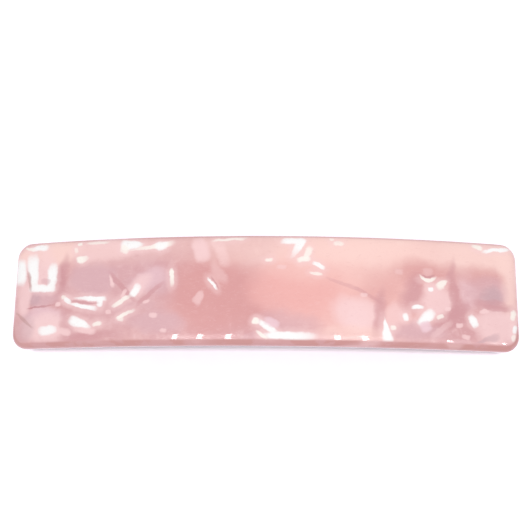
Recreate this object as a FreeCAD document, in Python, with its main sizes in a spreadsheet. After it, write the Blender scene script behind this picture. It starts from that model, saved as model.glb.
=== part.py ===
"""Rectangular acetate hair barrette with a steel French clip on its back, in millimetres.

The row frame has +X along the barrette, +Y across it and +Z out of its show face. The origin is on the
surface that the clip rests on, under the middle of the plate. Every arched piece is built about the arch
centre, a line parallel to Y far below the plate. A station is an angle along the arch from the middle,
and a depth is a distance from the clip base's underside towards the head.
"""

import FreeCAD
import Part
import math
import os
import Sketcher

DIMENSIONS = {
    # acetate plate
    "plate_length": 100.0,
    "plate_width": 21.5,
    "plate_thickness": 3.5,
    "arch_radius": 185.0,
    "corner_radius": 3.2,
    "front_round": 1.0,
    "back_round": 0.6,
    "arch_drop": 167.709,
    # clip base, a steel strip with two hinge ears
    "base_angle": 12.7,
    "base_width": 9.0,
    "base_thickness": 0.6,
    "base_corner": 4.2,
    "ear_thickness": 0.6,
    "ear_root": 3.4,
    "ear_round": 1.6,
    "ear_overlap": 0.3,
    "bend_round": 0.45,
    # rivets that hold the base to the plate
    "rivet_angle": 11.75,
    "rivet_radius": 1.0,
    "rivet_embed": 2.0,
    "rivet_head_radius": 1.8,
    "rivet_head_height": 0.6,
    "rivet_head_round": 0.42,
    "seat_gap": 0.015,
    # hinge pin at the hinge station
    "hinge_angle": 9.8,
    "pin_depth": 6.4,
    "pin_radius": 0.6,
    "pin_clearance": 0.05,
    "pin_seat": 0.02,
    "pin_head_radius": 1.05,
    "pin_head_height": 0.55,
    "pin_head_round": 0.44,
    # clasp arm
    "arm_gap": 7.5,
    "arm_thickness": 0.6,
    "arm_width": 7.2,
    "arm_heel_angle": 10.4,
    "arm_tip_angle": 11.5,
    "arm_flare_start": 21.0,
    "arm_flare_end": 26.5,
    "ring_width": 9.4,
    "ring_corner": 2.8,
    "flare_round": 5.6,
    "window_width": 6.4,
    "window_length": 7.0,
    "window_corner": 0.8,
    "lobe_thickness": 0.5,
    "lobe_round": 1.35,
    "lobe_run": 6.5,
    "lobe_overlap": 0.1,
    "lobe_rise": 0.15,
    "rib_width": 2.6,
    "rib_height": 0.45,
    "rib_angle": 7.0,
    "rib_corner": 1.2,
    "rib_round": 0.36,
    "hollow_width": 1.88,
    "hollow_angle": 6.6,
    # tension bar, a flatter leaf spring between base and arm
    "bar_radius": 330.0,
    "bar_depth": 2.0,
    "bar_thickness": 0.4,
    "bar_width": 5.6,
    "bar_angle": 5.4,
    "bar_pivot_reach": 30.6,
    "tongue_width": 2.6,
    "tongue_start": 22.0,
    "tongue_end": 26.0,
    "tongue_round": 1.04,
    "trunnion_length": 8.8,
    "trunnion_width": 1.0,
    "trunnion_hole": 0.62,
    # catch spring: a floor on the base and two wings
    "catch_angle": 9.7,
    "floor_angle": 1.15,
    "floor_width": 4.2,
    "floor_thickness": 0.4,
    "catch_rivet_angle": 10.3,
    "catch_rivet_radius": 0.7,
    "catch_rivet_head": 1.2,
    "catch_rivet_height": 0.35,
    "catch_rivet_gap": 0.02,
    "wing_length": 5.4,
    "wing_thickness": 0.4,
    "wing_root": 2.35,
    "wing_root_depth": 0.3,
    "wing_neck": 2.85,
    "wing_tip": 3.15,
    "wing_depth": 10.5,
    "wing_corner": 1.3,
    "barb_depth": 8.2,
    "barb_reach": 3.65,
    "barb_height": 1.2,
    "barb_length": 3.0,
}

BACK = "(Sizes.arch_radius - Sizes.plate_thickness)"
UNDER = f"({BACK} - Sizes.base_thickness)"
ARM_INNER = f"({UNDER} - Sizes.arm_gap)"
ARM_OUTER = f"({ARM_INNER} - Sizes.arm_thickness)"
PIN_LEVEL = f"({UNDER} - Sizes.pin_depth)"
BAR_CENTRE = f"({UNDER} - Sizes.bar_depth - Sizes.bar_radius)"
BAR_MIDDLE = "(Sizes.bar_radius - Sizes.bar_thickness / 2)"
ARCH_DROP = "-Sizes.arch_drop"
ORIGIN = (-1, 1)
ROOM = "5"  # how far a cutting outline runs past the metal that it trims
TOUCH = 0.02  # how near an edge lies to the face or radius that it is looked for on
BEYOND = 2.0  # how far past a corner of an outline an edge may still belong to it

doc = FreeCAD.newDocument("Barrette")


# ---- helpers --------------------------------------------------------------------------------------


def make_sheet():
    """The driving dimensions, one row each."""
    sheet = doc.addObject("Spreadsheet::Sheet", "Sizes")
    for row, (alias, value) in enumerate(DIMENSIONS.items(), 1):
        sheet.set(f"A{row}", alias)
        sheet.set(f"B{row}", str(value))
        sheet.setAlias(f"B{row}", alias)
    doc.recompute()


def new_body(label, level=ARCH_DROP):
    """A body whose own origin sits at the given level on the Z axis, the arch centre by default."""
    body = doc.addObject("PartDesign::Body", label)
    body.Label = label
    body.setExpression("Placement.Base.z", level)
    return body


def origin_plane(body, role):
    return next(o for o in body.Origin.OriginFeatures if o.Role == role)


def new_sketch(body, name, role, turn=None, shift=None):
    """A sketch on one of the body's origin planes, turned about the arch axis to a station."""
    sketch = body.newObject("Sketcher::SketchObject", name)
    sketch.AttachmentSupport = [(origin_plane(body, role), "")]
    sketch.MapMode = "FlatFace"
    axis = {
        "XZ_Plane": FreeCAD.Vector(0, 0, -1),
        "YZ_Plane": FreeCAD.Vector(1, 0, 0),
        "XY_Plane": FreeCAD.Vector(0, 1, 0),
    }[role]
    if turn:
        sketch.AttachmentOffset = FreeCAD.Placement(
            FreeCAD.Vector(), FreeCAD.Rotation(axis, 1)
        )
        sketch.setExpression("AttachmentOffset.Rotation.Angle", f"({turn}) * 1 deg")
    for letter, expression in (shift or {}).items():
        sketch.setExpression(f"AttachmentOffset.Base.{letter}", expression)
    return sketch


def pin_point(sketch, geometry, position, x, y):
    """Ties a sketch point to its place with two dimensions that follow the sheet."""
    for kind, expression, axis in (("DistanceX", x, -2), ("DistanceY", y, -1)):
        if expression == "0":
            sketch.addConstraint(
                Sketcher.Constraint("PointOnObject", geometry, position, axis)
            )
            continue
        value = float(sketch.evalExpression(expression))
        index = sketch.addConstraint(
            Sketcher.Constraint(kind, *ORIGIN, geometry, position, value)
        )
        sketch.setExpression(f"Constraints[{index}]", expression)


def outline(sketch, corners):
    """A closed polygon through corners, each an (x, y) pair of expressions."""
    points = [
        FreeCAD.Vector(
            float(sketch.evalExpression(x)), float(sketch.evalExpression(y)), 0
        )
        for x, y in corners
    ]
    count = len(points)
    lines = [
        sketch.addGeometry(Part.LineSegment(points[i], points[(i + 1) % count]))
        for i in range(count)
    ]
    for i, line in enumerate(lines):
        sketch.addConstraint(
            Sketcher.Constraint("Coincident", line, 2, lines[(i + 1) % count], 1)
        )
    for line, (x, y) in zip(lines, corners):
        pin_point(sketch, line, 1, x, y)


def rectangle(sketch, half_width, low, high):
    """A rectangle centred on the sketch's vertical axis."""
    outline(
        sketch,
        [
            (f"-{half_width}", low),
            (half_width, low),
            (half_width, high),
            (f"-{half_width}", high),
        ],
    )


def circle(sketch, x, y, radius):
    centre = FreeCAD.Vector(
        float(sketch.evalExpression(x)), float(sketch.evalExpression(y)), 0
    )
    value = float(sketch.evalExpression(radius))
    index = sketch.addGeometry(Part.Circle(centre, FreeCAD.Vector(0, 0, 1), value))
    pin_point(sketch, index, 3, x, y)
    rule = sketch.addConstraint(Sketcher.Constraint("Radius", index, value))
    sketch.setExpression(f"Constraints[{rule}]", radius)


def revolve(body, name, sketch, angle, back_angle=None, kind="Revolution", axis="H_Axis"):
    """Turns a sketch about one of its axes: both ways by half of angle, or by angle and back_angle."""
    feature = body.newObject(f"PartDesign::{kind}", name)
    feature.Profile = sketch
    feature.ReferenceAxis = (sketch, [axis])
    if back_angle:
        feature.Type = "TwoAngles"
        feature.setExpression("Angle2", back_angle)
    else:
        feature.Midplane = True
    feature.setExpression("Angle", angle)
    doc.recompute()
    return feature


def pad(body, name, sketch, length):
    """Thickens a sketch evenly to both sides of its plane."""
    feature = body.newObject("PartDesign::Pad", name)
    feature.Profile = sketch
    feature.SideType = "Symmetric"
    feature.setExpression("Length", length)
    doc.recompute()
    return feature


def pocket(body, name, sketch, length=None, outward=False):
    """Cuts a sketch: right through to both sides, by length to both sides, or one way outward."""
    before = body.Tip.Shape.Volume
    feature = body.newObject("PartDesign::Pocket", name)
    feature.Profile = sketch
    if outward:
        feature.Reversed = True
        feature.setExpression("Length", length)
    elif length:
        feature.SideType = "Symmetric"
        feature.setExpression("Length", length)
    else:
        feature.Type = "ThroughAll"
        feature.SideType = "Symmetric"
    doc.recompute()
    if feature.Shape.Volume >= before:
        raise RuntimeError(f"{body.Label}: {name} cuts nothing")
    return feature


def round_edges(body, name, radius, wanted):
    """Fillets the edges of the body's last feature whose middle point passes the test."""
    base = body.Tip
    names = []
    for number, edge in enumerate(base.Shape.Edges, 1):
        middle = edge.valueAt((edge.FirstParameter + edge.LastParameter) / 2)
        if wanted(edge, middle):
            names.append(f"Edge{number}")
    if not names:
        raise RuntimeError(f"{body.Label}: {name} finds no edge")
    feature = body.newObject("PartDesign::Fillet", name)
    feature.Base = (base, names)
    feature.setExpression("Radius", radius)
    doc.recompute()
    return feature


def size(alias):
    return DIMENSIONS[alias]


def near(value, target):
    return abs(value - target) < TOUCH


def arch_level(point):
    """Distance of a point from the arch axis, in a body's own frame."""
    return (point.x**2 + point.z**2) ** 0.5


def back_level():
    """The arch radius where the plate and the clip base meet."""
    return size("arch_radius") - size("plate_thickness")


def under_level():
    """The arch radius of the clip base's underside, from which depths are counted."""
    return back_level() - size("base_thickness")


def runs(edge, measure):
    """Whether an edge's two ends differ, by the given measure, by nearly its whole length."""
    ends = [measure(vertex.Point) for vertex in edge.Vertexes]
    return len(ends) == 2 and abs(ends[0] - ends[1]) > 0.9 * edge.Length


def is_upright(edge, middle=None):
    """An edge that runs through the thickness of a strip, towards the arch axis."""
    return runs(edge, arch_level)


def is_across(edge):
    """An edge that runs nearly along Y, through the thickness of a wing."""
    return runs(edge, lambda point: point.y)


# ---- sub-parts ------------------------------------------------------------------------------------


def make_plate():
    """The arched show plate: round corners, a soft front rim, and two blind holes for the rivets."""
    body = new_body("acetate_plate")
    section = new_sketch(body, "plate_section", "YZ_Plane")
    rectangle(section, "Sizes.plate_width / 2", BACK, "Sizes.arch_radius")
    revolve(
        body,
        "plate_arch",
        section,
        "2 * asin(Sizes.plate_length / (2 * Sizes.arch_radius))",
    )
    round_edges(body, "plate_corners", "Sizes.corner_radius", is_upright)
    round_edges(
        body,
        "plate_front_rim",
        "Sizes.front_round",
        lambda edge, p: near(arch_level(p), size("arch_radius")),
    )
    round_edges(
        body,
        "plate_back_rim",
        "Sizes.back_round",
        lambda edge, p: near(arch_level(p), back_level()),
    )
    for name, side in (("hinge_hole", "-"), ("catch_hole", "")):
        hole = station_plane(body, name, f"{side}Sizes.rivet_angle", BACK)
        circle(hole, "0", "0", "Sizes.rivet_radius")
        pocket(body, f"{name}_cut", hole, "Sizes.rivet_embed", outward=True)


def station_plane(body, name, angle, level):
    """A sketch that lies flat on the arch at a station, at a distance from the arch centre."""
    return new_sketch(
        body,
        name,
        "XY_Plane",
        turn=angle,
        shift={
            "x": f"{level} * sin(({angle}) * 1 deg)",
            "z": f"{level} * cos(({angle}) * 1 deg)",
        },
    )


def make_base():
    """The steel strip behind the plate, with a fork of two ears that carries the pin and the bar."""
    body = new_body("clip_base")
    section = new_sketch(body, "strip_section", "YZ_Plane")
    rectangle(section, "Sizes.base_width / 2", UNDER, BACK)
    revolve(body, "strip_arch", section, "2 * Sizes.base_angle * 1 deg")
    round_edges(body, "strip_ends", "Sizes.base_corner", is_upright)
    ears = new_sketch(body, "ear_outline", "XZ_Plane", turn="-Sizes.hinge_angle")
    outline(
        ears,
        [
            ("-Sizes.ear_root", f"{BACK} - Sizes.ear_overlap"),
            ("-Sizes.ear_round", PIN_LEVEL),
            ("Sizes.ear_round", PIN_LEVEL),
            ("Sizes.ear_root", f"{BACK} - Sizes.ear_overlap"),
        ],
    )
    pad(body, "ear_block", ears, "Sizes.base_width")
    tips = new_sketch(body, "ear_tip", "XZ_Plane", turn="-Sizes.hinge_angle")
    circle(tips, "0", PIN_LEVEL, "Sizes.ear_round")
    pad(body, "ear_tips", tips, "Sizes.base_width")
    gap = new_sketch(body, "ear_gap", "XZ_Plane", turn="-Sizes.hinge_angle")
    rectangle(gap, f"(Sizes.ear_root + {ROOM})", f"{PIN_LEVEL} - {ROOM}", UNDER)
    pocket(body, "ear_gap_cut", gap, "Sizes.base_width - 2 * Sizes.ear_thickness")
    round_edges(
        body,
        "strip_sides",
        "Sizes.bend_round",
        lambda edge, p: near(abs(p.y), size("base_width") / 2)
        and near(arch_level(p), back_level()),
    )
    pin_hole = new_sketch(body, "pin_hole", "XZ_Plane", turn="-Sizes.hinge_angle")
    circle(pin_hole, "0", PIN_LEVEL, "Sizes.pin_radius + Sizes.pin_seat")
    pocket(body, "pin_hole_cut", pin_hole)
    bar_hole = new_sketch(body, "bar_hole", "XZ_Plane")
    circle(
        bar_hole,
        "-Sizes.bar_pivot_reach",
        f"{BAR_CENTRE} + sqrt({BAR_MIDDLE}^2 - Sizes.bar_pivot_reach^2)",
        "Sizes.trunnion_hole",
    )
    pocket(body, "bar_hole_cut", bar_hole)
    for name, side in (("hinge_rivet", "-"), ("catch_rivet_plate", "")):
        hole = station_plane(body, f"{name}_hole", f"{side}Sizes.rivet_angle", BACK)
        circle(hole, "0", "0", "Sizes.rivet_radius")
        pocket(body, f"{name}_cut", hole)
    hole = station_plane(body, "catch_rivet_hole", "Sizes.catch_rivet_angle", BACK)
    circle(hole, "0", "0", "Sizes.catch_rivet_radius")
    pocket(body, "catch_rivet_cut", hole)


def make_plate_rivets():
    """Two pan-headed rivets, set into the acetate through the ends of the base.

    A flat head seats with a small gap, so that it clears the strip's curved underside.
    """
    for label, side in (("rivet_hinge_end", "-"), ("rivet_catch_end", "")):
        body = new_body(label)
        turn = f"{side}Sizes.rivet_angle"
        profile = new_sketch(body, "rivet_profile", "XZ_Plane", turn=turn)
        outline(
            profile,
            [
                ("0", f"{BACK} + Sizes.rivet_embed"),
                ("0", f"{UNDER} - Sizes.rivet_head_height"),
                ("Sizes.rivet_head_radius", f"{UNDER} - Sizes.rivet_head_height"),
                ("Sizes.rivet_head_radius", f"{UNDER} - Sizes.seat_gap"),
                ("Sizes.rivet_radius", f"{UNDER} - Sizes.seat_gap"),
                ("Sizes.rivet_radius", f"{BACK} + Sizes.rivet_embed"),
            ],
        )
        revolve(body, "rivet_turned", profile, "360 deg", axis="V_Axis")
        round_edges(
            body,
            "rivet_crown",
            "Sizes.rivet_head_round",
            lambda edge, p: near(edge.Length, 2 * math.pi * size("rivet_head_radius"))
            and arch_level(p) < under_level() - size("rivet_head_height") / 2,
        )


def make_hinge_pin():
    """A pin through both ears, peened to a dome at each end."""
    body = new_body("hinge_pin")
    shank = new_sketch(body, "pin_shank", "XZ_Plane", turn="-Sizes.hinge_angle")
    circle(shank, "0", PIN_LEVEL, "Sizes.pin_radius")
    pad(body, "pin_length", shank, "Sizes.base_width")
    for name, side in (("front", ""), ("rear", "-")):
        head = new_sketch(
            body,
            f"pin_head_{name}",
            "XZ_Plane",
            turn="-Sizes.hinge_angle",
            shift={"z": f"{side}(Sizes.base_width + Sizes.pin_head_height) / 2"},
        )
        circle(head, "0", PIN_LEVEL, "Sizes.pin_head_radius")
        pad(body, f"pin_dome_{name}", head, "Sizes.pin_head_height")
    outer = size("base_width") / 2 + size("pin_head_height")
    round_edges(
        body,
        "pin_domes",
        "Sizes.pin_head_round",
        lambda edge, p: near(abs(p.y), outer),
    )


def side_trim(sketch, border):
    """Outlines what is cut from both sides of a strip: all beyond a border of (x, half width) points."""
    for side in ("", "-"):
        inner = [(x, f"{side}{half}") for x, half in border]
        outer = [(x, f"{side}({half} + {ROOM})") for x, half in (border[-1], border[0])]
        outline(sketch, inner + outer)


def make_arm():
    """The clasp arm: a ribbed strip hung between two lobes, widening into a ring for the wings."""
    body = new_body("clasp_arm")
    section = new_sketch(body, "arm_section", "YZ_Plane")
    rectangle(section, "Sizes.ring_width / 2", ARM_OUTER, ARM_INNER)
    revolve(
        body,
        "arm_arch",
        section,
        "Sizes.arm_tip_angle * 1 deg",
        back_angle="Sizes.arm_heel_angle * 1 deg",
    )
    sides = new_sketch(body, "arm_sides", "XY_Plane")
    side_trim(
        sides,
        [
            ("-Sizes.plate_length / 2", "Sizes.arm_width / 2"),
            ("Sizes.arm_flare_start", "Sizes.arm_width / 2"),
            ("Sizes.arm_flare_end", "Sizes.ring_width / 2"),
            ("Sizes.plate_length / 2", "Sizes.ring_width / 2"),
        ],
    )
    pocket(body, "arm_sides_cut", sides)
    round_edges(
        body,
        "arm_end_corners",
        "Sizes.ring_corner",
        lambda edge, p: is_upright(edge) and p.x > size("arm_flare_end") + BEYOND,
    )
    round_edges(
        body,
        "arm_flare_curves",
        "Sizes.flare_round",
        lambda edge, p: is_upright(edge)
        and size("arm_flare_start") - BEYOND < p.x < size("arm_flare_end") + BEYOND,
    )
    rib = new_sketch(body, "rib_section", "YZ_Plane")
    rectangle(rib, "Sizes.rib_width / 2", f"{ARM_OUTER} - Sizes.rib_height", ARM_INNER)
    revolve(body, "rib_arch", rib, "2 * Sizes.rib_angle * 1 deg")
    crown = under_level() - size("arm_gap") - size("arm_thickness") - size("rib_height")
    round_edges(
        body,
        "rib_ends",
        "Sizes.rib_corner",
        lambda edge, p: is_upright(edge)
        and near(abs(p.y), size("rib_width") / 2)
        and near(edge.Length, size("rib_height")),
    )
    round_edges(
        body,
        "rib_crown",
        "Sizes.rib_round",
        lambda edge, p: near(arch_level(p), crown),
    )
    hollow = new_sketch(body, "rib_hollow", "YZ_Plane")
    rectangle(
        hollow,
        "Sizes.hollow_width / 2",
        f"{ARM_INNER} - Sizes.rib_height",
        f"{ARM_INNER} + Sizes.rib_height",
    )
    revolve(
        body,
        "rib_hollow_cut",
        hollow,
        "2 * Sizes.hollow_angle * 1 deg",
        kind="Groove",
    )
    window = station_plane(body, "window", "Sizes.catch_angle", ARM_INNER)
    outline(
        window,
        [
            ("-Sizes.window_length / 2", "-Sizes.window_width / 2"),
            ("Sizes.window_length / 2", "-Sizes.window_width / 2"),
            ("Sizes.window_length / 2", "Sizes.window_width / 2"),
            ("-Sizes.window_length / 2", "Sizes.window_width / 2"),
        ],
    )
    pocket(body, "window_cut", window, ROOM)
    round_edges(
        body,
        "window_corners",
        "Sizes.window_corner",
        lambda edge, p: is_upright(edge) and near(abs(p.y), size("window_width") / 2),
    )
    lobes = new_sketch(body, "lobe_outline", "XZ_Plane", turn="-Sizes.hinge_angle")
    outline(
        lobes,
        [
            ("-Sizes.lobe_round", PIN_LEVEL),
            ("-Sizes.lobe_round", f"{ARM_OUTER} + Sizes.lobe_overlap"),
            ("Sizes.lobe_run", f"{ARM_OUTER} + Sizes.lobe_overlap"),
            ("Sizes.lobe_run", f"{ARM_INNER} + Sizes.lobe_rise"),
            ("Sizes.lobe_round", PIN_LEVEL),
        ],
    )
    pad(body, "lobe_block", lobes, "Sizes.arm_width")
    knuckle = new_sketch(body, "lobe_knuckle", "XZ_Plane", turn="-Sizes.hinge_angle")
    circle(knuckle, "0", PIN_LEVEL, "Sizes.lobe_round")
    pad(body, "lobe_knuckles", knuckle, "Sizes.arm_width")
    gap = new_sketch(body, "lobe_gap", "XZ_Plane", turn="-Sizes.hinge_angle")
    rectangle(
        gap, f"(Sizes.lobe_run + {ROOM})", ARM_INNER, f"{PIN_LEVEL} + {ROOM}"
    )
    pocket(body, "lobe_gap_cut", gap, "Sizes.arm_width - 2 * Sizes.lobe_thickness")
    bore = new_sketch(body, "arm_bore", "XZ_Plane", turn="-Sizes.hinge_angle")
    circle(bore, "0", PIN_LEVEL, "Sizes.pin_radius + Sizes.pin_clearance")
    pocket(body, "arm_bore_cut", bore)


def make_bar():
    """The tension bar: a leaf spring that hangs on a cross bar in the ears and ends in a tongue."""
    body = new_body("tension_bar", f"{BAR_CENTRE} - Sizes.arch_drop")
    section = new_sketch(body, "bar_section", "YZ_Plane")
    rectangle(
        section,
        "Sizes.bar_width / 2",
        "(Sizes.bar_radius - Sizes.bar_thickness)",
        "Sizes.bar_radius",
    )
    revolve(body, "bar_arch", section, "2 * Sizes.bar_angle * 1 deg")
    sides = new_sketch(body, "bar_sides", "XY_Plane")
    side_trim(
        sides,
        [
            ("Sizes.tongue_start", "Sizes.bar_width / 2"),
            ("Sizes.tongue_end", "Sizes.tongue_width / 2"),
            ("Sizes.plate_length / 2", "Sizes.tongue_width / 2"),
        ],
    )
    pocket(body, "bar_sides_cut", sides)
    round_edges(
        body,
        "tongue_tip",
        "Sizes.tongue_round",
        lambda edge, p: is_upright(edge) and p.x > size("tongue_end") + BEYOND,
    )
    cross = new_sketch(
        body,
        "cross_bar",
        "XZ_Plane",
        turn="-asin(Sizes.bar_pivot_reach / Sizes.bar_radius) / 1 deg",
    )
    rectangle(
        cross,
        "Sizes.trunnion_width / 2",
        "(Sizes.bar_radius - Sizes.bar_thickness)",
        "Sizes.bar_radius",
    )
    pad(body, "cross_bar_length", cross, "Sizes.trunnion_length")


def make_catch_floor():
    """The floor of the catch spring, riveted to the underside of the base."""
    body = new_body("catch_floor")
    turn = "Sizes.catch_angle"
    section = new_sketch(body, "floor_section", "YZ_Plane", turn=turn)
    rectangle(
        section, "Sizes.floor_width / 2", f"({UNDER} - Sizes.floor_thickness)", UNDER
    )
    revolve(body, "floor_arch", section, "2 * Sizes.floor_angle * 1 deg")
    hole = station_plane(body, "floor_hole", "Sizes.catch_rivet_angle", BACK)
    circle(hole, "0", "0", "Sizes.catch_rivet_radius")
    pocket(body, "floor_hole_cut", hole)


def make_catch_rivet():
    """The small rivet that fixes the catch spring, flush with the back of the base."""
    body = new_body("catch_rivet")
    profile = new_sketch(
        body, "rivet_profile", "XZ_Plane", turn="Sizes.catch_rivet_angle"
    )
    seat = f"{UNDER} - Sizes.floor_thickness - Sizes.seat_gap"
    outline(
        profile,
        [
            ("0", f"{BACK} - Sizes.catch_rivet_gap"),
            ("0", f"{seat} - Sizes.catch_rivet_height"),
            ("Sizes.catch_rivet_head", f"{seat} - Sizes.catch_rivet_height"),
            ("Sizes.catch_rivet_head", seat),
            ("Sizes.catch_rivet_radius", seat),
            ("Sizes.catch_rivet_radius", f"{BACK} - Sizes.catch_rivet_gap"),
        ],
    )
    revolve(body, "rivet_turned", profile, "360 deg", axis="V_Axis")


def make_wings():
    """The two sprung wings of the catch. Each has a root bead to turn on and a barb for the ring."""
    for label, side in (("catch_wing_front", "-"), ("catch_wing_rear", "")):
        body = new_body(label)
        turn = "Sizes.catch_angle"
        root = f"{UNDER} - Sizes.wing_root_depth"
        neck = f"{UNDER} - Sizes.barb_depth"
        tip = f"{UNDER} - Sizes.wing_depth"
        half = "Sizes.wing_thickness / 2"
        profile = new_sketch(body, "wing_profile", "YZ_Plane", turn=turn)
        outline(
            profile,
            [
                (f"{side}(Sizes.wing_root - {half})", root),
                (f"{side}(Sizes.wing_root + {half})", root),
                (f"{side}(Sizes.wing_neck + {half})", neck),
                (f"{side}(Sizes.wing_tip + {half})", tip),
                (f"{side}(Sizes.wing_tip - {half})", tip),
                (f"{side}(Sizes.wing_neck - {half})", neck),
            ],
        )
        pad(body, "wing_blade", profile, "Sizes.wing_length")
        bead = new_sketch(body, "wing_root", "YZ_Plane", turn=turn)
        circle(bead, f"{side}Sizes.wing_root", root, half)
        pad(body, "wing_bead", bead, "Sizes.wing_length")
        round_edges(
            body,
            "wing_tip_corners",
            "Sizes.wing_corner",
            lambda edge, p: is_across(edge)
            and arch_level(p) < under_level() - size("wing_depth") + size("wing_thickness"),
        )
        barb = new_sketch(body, "barb_profile", "YZ_Plane", turn=turn)
        outline(
            barb,
            [
                (f"{side}Sizes.wing_neck", neck),
                (f"{side}Sizes.barb_reach", neck),
                (f"{side}(Sizes.wing_neck + {half})", f"{neck} - Sizes.barb_height"),
                (f"{side}Sizes.wing_neck", f"{neck} - Sizes.barb_height"),
            ],
        )
        pad(body, "wing_barb", barb, "Sizes.barb_length")


# ---- the whole ------------------------------------------------------------------------------------


def main():
    make_sheet()
    make_plate()
    make_base()
    make_plate_rivets()
    make_hinge_pin()
    make_arm()
    make_bar()
    make_catch_floor()
    make_catch_rivet()
    make_wings()
    doc.recompute()
    bodies = [o for o in doc.Objects if o.TypeId == "PartDesign::Body"]
    for item in doc.Objects:
        if {"Invalid", "Error"} & set(item.State):
            raise RuntimeError(f"{item.Label} failed: {item.State}")
    os.makedirs("parts", exist_ok=True)
    for body in bodies:
        shape = body.Shape
        if shape.isNull() or not shape.isValid() or len(shape.Solids) != 1:
            raise RuntimeError(f"{body.Label} is not one valid solid")
        box = shape.optimalBoundingBox(False)
        print(f"{body.Label}: {shape.Volume:.2f} mm3, z {box.ZMin:.3f} to {box.ZMax:.3f}")
        shape.exportStep(f"parts/{body.Label}.step")


main()
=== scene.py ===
"""A rectangular pearl-acetate barrette on a pale table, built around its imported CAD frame.

Lengths are in metres in the row frame. The acetate's pattern is laid out in millimetres, as it is seen from
straight above the show face, with x along the plate and y across it.
"""

import math

import bpy
from mathutils import Matrix, Vector


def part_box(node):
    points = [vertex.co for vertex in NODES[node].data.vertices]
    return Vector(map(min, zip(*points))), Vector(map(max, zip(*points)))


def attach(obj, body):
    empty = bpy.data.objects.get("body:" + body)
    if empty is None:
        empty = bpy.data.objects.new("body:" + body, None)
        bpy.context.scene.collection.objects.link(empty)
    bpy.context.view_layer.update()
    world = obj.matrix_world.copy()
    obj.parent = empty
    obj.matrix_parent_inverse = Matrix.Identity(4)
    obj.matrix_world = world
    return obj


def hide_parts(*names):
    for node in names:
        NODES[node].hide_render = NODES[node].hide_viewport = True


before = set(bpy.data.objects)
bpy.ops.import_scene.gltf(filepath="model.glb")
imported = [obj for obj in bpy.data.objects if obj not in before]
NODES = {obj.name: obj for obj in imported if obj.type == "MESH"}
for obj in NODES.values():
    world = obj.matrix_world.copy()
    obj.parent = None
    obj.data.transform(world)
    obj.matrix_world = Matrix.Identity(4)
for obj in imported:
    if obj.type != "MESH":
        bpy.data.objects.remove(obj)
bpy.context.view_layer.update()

MM = 0.001

# The plate, as the CAD has it.
ARCH_RADIUS = 185 * MM
PLATE_LENGTH = 100 * MM
PLATE_THICKNESS = 3.5 * MM
CORNER_RADIUS = 3.2 * MM
PLATE_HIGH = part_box("acetate_plate")[1]
HALF_WIDTH = PLATE_HIGH.y
FRONT_LEVEL = PLATE_HIGH.z
ARCH_CENTRE = FRONT_LEVEL - ARCH_RADIUS
HALF_RUN = ARCH_RADIUS * math.asin(PLATE_LENGTH / (2 * ARCH_RADIUS))

# The tumble-polished rim: a soft shoulder on the show side, and a wall that rounds in towards the back.
SHOULDER_REACH = 2.3 * MM
SHOULDER_DEPTH = 1.2 * MM
SHOULDER_FULLNESS = 2.5
BACK_REACH = 0.9 * MM

# What polishing takes off the show face, and the height of the waves that it leaves there.
POLISH_LOSS = 0.03 * MM
POLISH_WAVE = 0.011 * MM

# How finely the mesh is divided: down the shoulder and the wall, and along each stretch of the outline.
SHOULDER_STEPS = 18
WALL_STEPS = 10
LONG_STEPS = 130
SHORT_STEPS = 22
HALF_CORNER_STEPS = 6

# Half of the quarter circle that a corner turns through.
HALF_CORNER = math.pi / 4


# ---------------------------------------------------------------- plate mesh


def rim_profile():
    """(inset, depth) steps round the rim, from the edge of the show face to the edge of the back."""
    steps = []
    for i in range(SHOULDER_STEPS + 1):
        turn = math.pi / 2 * i / SHOULDER_STEPS
        across = 1 - math.sin(turn) ** (2 / SHOULDER_FULLNESS)
        down = 1 - math.cos(turn) ** (2 / SHOULDER_FULLNESS)
        steps.append((SHOULDER_REACH * across, SHOULDER_DEPTH * down))
    for i in range(1, WALL_STEPS + 1):
        turn = math.pi / 2 * i / WALL_STEPS
        depth = SHOULDER_DEPTH + (PLATE_THICKNESS - SHOULDER_DEPTH) * math.sin(turn)
        steps.append((BACK_REACH * (1 - math.cos(turn)), depth))
    return steps


def outline(inset):
    """The plate's outline on the flat, inset by a distance.

    It runs anticlockwise from halfway round the lower right corner, as four sides that meet halfway round
    the corners."""
    radius = CORNER_RADIUS - inset
    run = HALF_RUN - CORNER_RADIUS
    reach = HALF_WIDTH - CORNER_RADIUS
    middles = ((run, -reach), (run, reach), (-run, reach), (-run, -reach))
    points = []
    for side, steps in enumerate((SHORT_STEPS, LONG_STEPS, SHORT_STEPS, LONG_STEPS)):
        facing = side * math.pi / 2
        start, end = middles[side], middles[(side + 1) % 4]
        first, last = on_arc(start, radius, facing), on_arc(end, radius, facing)
        points += half_corner(start, radius, facing - HALF_CORNER)
        points += [between(first, last, i / steps) for i in range(steps)]
        points += half_corner(end, radius, facing)
    return points


def half_corner(middle, radius, angle):
    """Half of a corner's arc from an angle on, without its last point."""
    turns = [HALF_CORNER * i / HALF_CORNER_STEPS for i in range(HALF_CORNER_STEPS)]
    return [on_arc(middle, radius, angle + turn) for turn in turns]


def on_arc(middle, radius, angle):
    return middle[0] + radius * math.cos(angle), middle[1] + radius * math.sin(angle)


def between(a, b, share):
    """The point that lies a share of the way from one point to another."""
    return tuple(p + (q - p) * share for p, q in zip(a, b))


def polish(run, y):
    """The slight unevenness that hand polishing leaves in the show face, as slow crossing waves."""
    a, b = run / MM, y / MM
    waves = math.sin(a / 4.1 + 0.6 * math.sin(b / 3.7)) + 0.7 * math.sin(a / 7.3 - b / 5.9 + 1.3)
    return POLISH_WAVE * waves


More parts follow.
